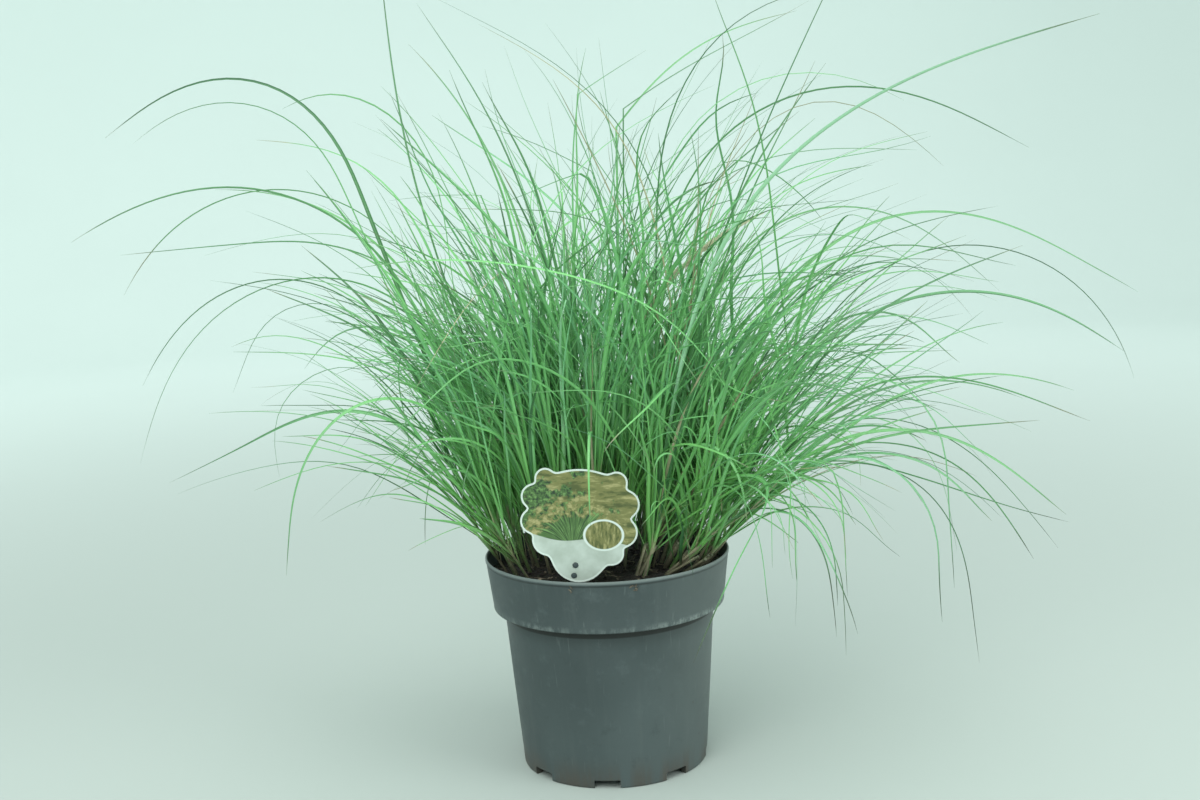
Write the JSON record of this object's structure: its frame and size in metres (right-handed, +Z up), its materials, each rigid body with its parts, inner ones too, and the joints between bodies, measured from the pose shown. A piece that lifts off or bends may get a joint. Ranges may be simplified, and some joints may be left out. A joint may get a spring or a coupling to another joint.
{
  "type": "potted ornamental grass",
  "caption": "Clump of narrow arching green blades and an old seed head, in a slate grey nursery pot of soil with a scalloped label card on a stake.",
  "frame": {"origin": "middle of the pot's underside, on the surface that the pot stands on", "axes": "+Z up, +X to the right of the label as seen from the front, and the label faces -Y"},
  "size_m": [0.9474, 0.6767, 0.6879],
  "materials": {
    "pot_plastic": "matte moulded plastic, slightly scuffed and dusty",
    "soil": "moist dark peat compost with pale chips",
    "label_card": "printed plastic card, satin",
    "label_stake": "dark moulded plastic",
    "seed_head": "dry straw, fluffy",
    "blade_green": "satin green grass blade with a paler midrib, tan at its foot"
  },
  "bodies": {
    "root": {"pot": "pot_plastic", "soil": "soil", "label_card": "label_card", "label_stake": "label_stake", "seed_head": "seed_head", "shoot_01": "blade_green", "shoot_02": "blade_green", "shoot_03": "blade_green", "shoot_04": "blade_green", "shoot_05": "blade_green", "shoot_06": "blade_green", "shoot_07": "blade_green", "shoot_08": "blade_green", "shoot_09": "blade_green", "shoot_10": "blade_green", "shoot_11": "blade_green", "shoot_12": "blade_green", "shoot_13": "blade_green", "shoot_14": "blade_green", "shoot_15": "blade_green", "shoot_16": "blade_green", "shoot_17": "blade_green", "shoot_18": "blade_green", "shoot_19": "blade_green", "shoot_20": "blade_green", "shoot_21": "blade_green", "shoot_22": "blade_green", "shoot_23": "blade_green", "shoot_24": "blade_green", "shoot_25": "blade_green", "shoot_26": "blade_green", "shoot_27": "blade_green", "shoot_28": "blade_green", "shoot_29": "blade_green", "shoot_30": "blade_green", "shoot_31": "blade_green", "shoot_32": "blade_green", "shoot_33": "blade_green", "shoot_34": "blade_green", "shoot_35": "blade_green", "shoot_36": "blade_green", "shoot_37": "blade_green", "shoot_38": "blade_green", "shoot_39": "blade_green", "shoot_40": "blade_green", "shoot_41": "blade_green", "shoot_42": "blade_green", "shoot_43": "blade_green", "shoot_44": "blade_green", "shoot_45": "blade_green", "shoot_46": "blade_green", "shoot_47": "blade_green", "shoot_48": "blade_green", "shoot_49": "blade_green", "shoot_50": "blade_green", "shoot_51": "blade_green", "shoot_52": "blade_green"}
  },
  "joints": []
}
